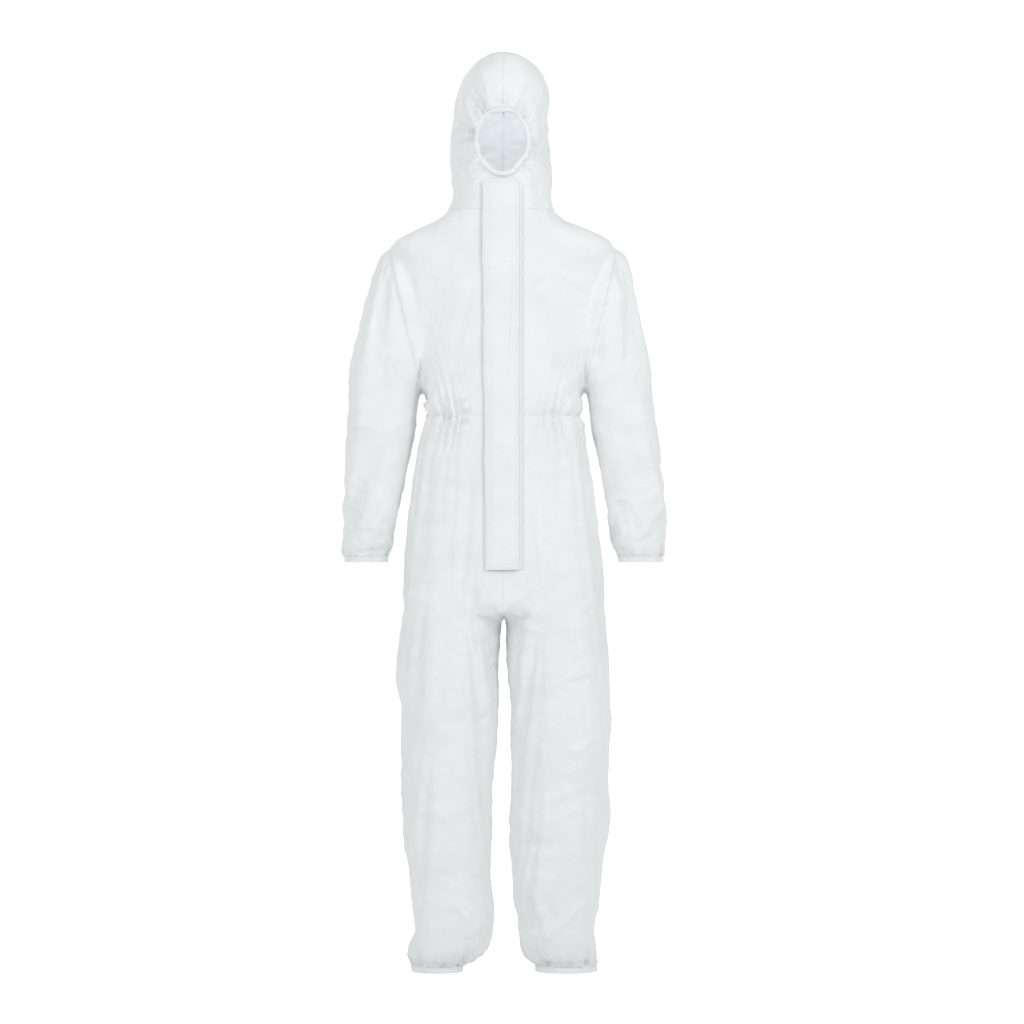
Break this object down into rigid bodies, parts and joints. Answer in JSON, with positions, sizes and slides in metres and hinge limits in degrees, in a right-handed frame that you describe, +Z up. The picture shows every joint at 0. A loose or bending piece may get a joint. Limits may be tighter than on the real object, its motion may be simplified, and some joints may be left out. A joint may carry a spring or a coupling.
{
  "type": "hooded protective coverall",
  "caption": "White disposable hooded coverall with elastic face opening, waist, cuffs and ankles, and a front zip under a storm flap, standing as if worn.",
  "frame": {"origin": "on the wearer's shoulders: on the body's centre line, midway between the two shoulder points, at the height of the neck seam", "axes": "+Z up, -Y the way the suit faces, +X the wearer's left"},
  "size_m": [0.6248, 0.2812, 1.76],
  "materials": {
    "fabric": "matt white microporous laminate on spunbond, with a fine crinkle",
    "elastic": "matt white covered elastic",
    "zip_tape": "woven white polyester tape",
    "zip_plastic": "moulded white acetal",
    "adhesive": "waxy paper release liner on double-sided tape"
  },
  "bodies": {
    "torso": {"front_right_panel": "fabric", "front_left_panel": "fabric", "back_right_panel": "fabric", "back_left_panel": "fabric", "waist_elastic": "elastic", "crotch_fabric": "fabric", "neck_fabric": "fabric", "zip_tape_right": "zip_tape", "zip_tape_left": "zip_tape", "zip_teeth_right": "zip_plastic", "zip_teeth_left": "zip_plastic", "zip_top_stops": "zip_plastic", "zip_bottom_stop": "zip_plastic", "flap_sewn_edge": "fabric", "right_shoulder_fabric": "fabric", "left_shoulder_fabric": "fabric", "right_hip_fabric": "fabric", "left_hip_fabric": "fabric"},
    "hood": {"hood_right_panel": "fabric", "hood_left_panel": "fabric", "face_hem": "fabric", "face_elastic": "elastic"},
    "flap": {"storm_flap": "fabric", "flap_adhesive": "adhesive"},
    "slider": {"zip_slider": "zip_plastic"},
    "pull": {"zip_pull": "zip_plastic"},
    "right_upper_arm": {"right_upper_sleeve": "fabric", "right_elbow_fabric": "fabric"},
    "right_forearm": {"right_lower_sleeve": "fabric", "right_cuff_hem": "fabric", "right_cuff_elastic": "elastic"},
    "right_thigh": {"right_thigh_front": "fabric", "right_thigh_back": "fabric", "right_knee_fabric": "fabric"},
    "right_shin": {"right_shin_front": "fabric", "right_shin_back": "fabric", "right_ankle_hem": "fabric", "right_ankle_elastic": "elastic"},
    "left_upper_arm": {"left_upper_sleeve": "fabric", "left_elbow_fabric": "fabric"},
    "left_forearm": {"left_lower_sleeve": "fabric", "left_cuff_hem": "fabric", "left_cuff_elastic": "elastic"},
    "left_thigh": {"left_thigh_front": "fabric", "left_thigh_back": "fabric", "left_knee_fabric": "fabric"},
    "left_shin": {"left_shin_front": "fabric", "left_shin_back": "fabric", "left_ankle_hem": "fabric", "left_ankle_elastic": "elastic"}
  },
  "joints": [
    {"name": "hood_tip", "type": "hinge", "parent": "torso", "child": "hood", "pos_m": [0, -0.0197, 0.035], "axis": [1, 0, 0], "range_deg": [-20, 0], "deforming": ["neck_fabric"]},
    {"name": "flap_open", "type": "hinge", "parent": "torso", "child": "flap", "pos_m": [0.031, -0.10195, 0.00008], "axis": [0, 0.0339, 0.9994], "range_deg": [0, 130]},
    {"name": "slider_travel", "type": "slide", "parent": "torso", "child": "slider", "axis": [0, -0.0339, -0.9994], "range_m": [0, 0.7], "deforming": ["zip_teeth_right", "zip_teeth_left"]},
    {"name": "pull_swing", "type": "hinge", "parent": "slider", "child": "pull", "pos_m": [0, -0.10284, 0.0416], "axis": [-1, 0, 0], "range_deg": [0, 2.5]},
    {"name": "right_shoulder", "type": "hinge", "parent": "torso", "child": "right_upper_arm", "pos_m": [-0.20457, 0.00963, -0.13158], "axis": [0, 1, 0], "range_deg": [0, 60], "deforming": ["right_shoulder_fabric"]},
    {"name": "right_elbow", "type": "hinge", "parent": "right_upper_arm", "child": "right_forearm", "pos_m": [-0.234, 0.01763, -0.43], "axis": [-1, 0, 0], "range_deg": [0, 70], "deforming": ["right_elbow_fabric"]},
    {"name": "right_hip", "type": "hinge", "parent": "torso", "child": "right_thigh", "pos_m": [-0.107, -0.01541, -0.757], "axis": [-1, 0, 0], "range_deg": [-15, 45], "deforming": ["right_hip_fabric"]},
    {"name": "right_knee", "type": "hinge", "parent": "right_thigh", "child": "right_shin", "pos_m": [-0.107, -0.02341, -1.1], "axis": [1, 0, 0], "range_deg": [0, 80], "deforming": ["right_knee_fabric"]},
    {"name": "left_shoulder", "type": "hinge", "parent": "torso", "child": "left_upper_arm", "pos_m": [0.20457, 0.00963, -0.13158], "axis": [0, -1, 0], "range_deg": [0, 60], "deforming": ["left_shoulder_fabric"]},
    {"name": "left_elbow", "type": "hinge", "parent": "left_upper_arm", "child": "left_forearm", "pos_m": [0.234, 0.01763, -0.43], "axis": [-1, 0, 0], "range_deg": [0, 70], "deforming": ["left_elbow_fabric"]},
    {"name": "left_hip", "type": "hinge", "parent": "torso", "child": "left_thigh", "pos_m": [0.107, -0.01541, -0.757], "axis": [-1, 0, 0], "range_deg": [-15, 45], "deforming": ["left_hip_fabric", "crotch_fabric"]},
    {"name": "left_knee", "type": "hinge", "parent": "left_thigh", "child": "left_shin", "pos_m": [0.107, -0.02341, -1.1], "axis": [1, 0, 0], "range_deg": [0, 80], "deforming": ["left_knee_fabric"]}
  ]
}
